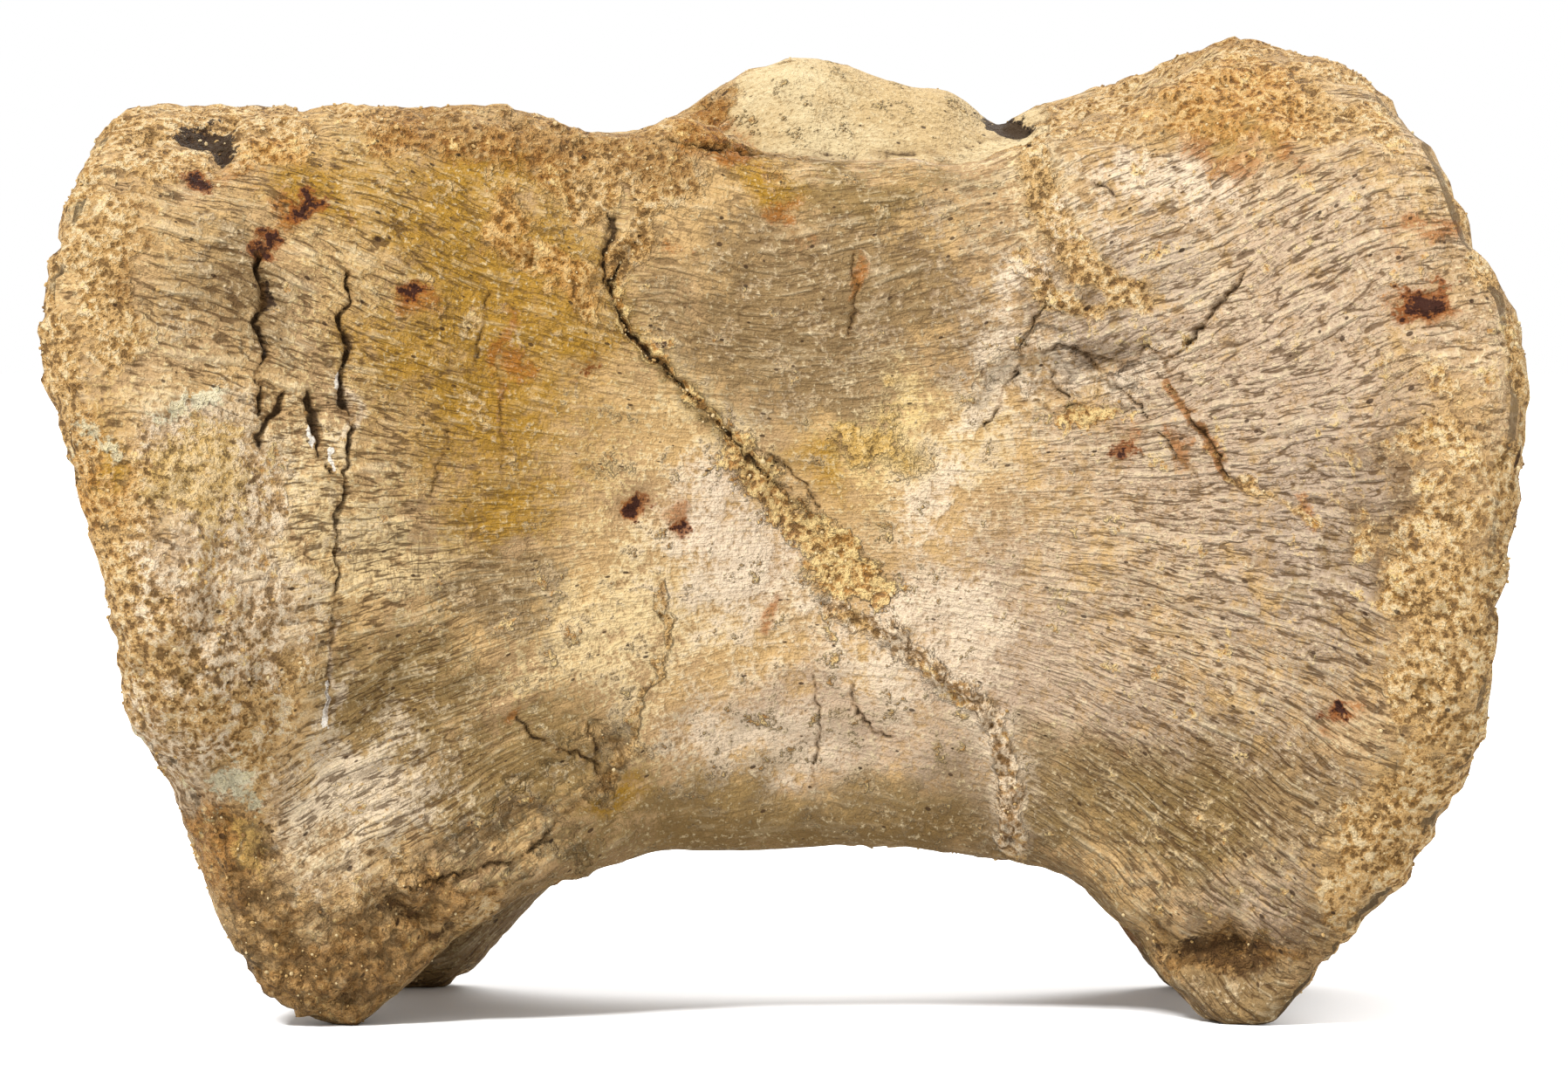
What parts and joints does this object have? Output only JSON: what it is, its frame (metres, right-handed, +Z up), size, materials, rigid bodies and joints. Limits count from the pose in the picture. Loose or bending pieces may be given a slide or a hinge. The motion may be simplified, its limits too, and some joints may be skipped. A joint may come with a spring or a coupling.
{
  "type": "fossil vertebra",
  "caption": "Fossil tail vertebra of a spinosaurid: a spool-shaped body with dished ends and an arched underside, its neural arch broken off.",
  "frame": {"origin": "middle of the bounding box's footprint, on the surface that the bone stands on", "axes": "+X along the bone from one joint face to the other, -Y towards the better side, +Z up towards the broken arch"},
  "size_m": [0.0994, 0.0552, 0.0689],
  "materials": {
    "fossil_bone": "dry tan mineralised bone, ochre and rust stained, with spongy crumbling rims"
  },
  "bodies": {
    "root": {"vertebra": "fossil_bone"}
  },
  "joints": []
}
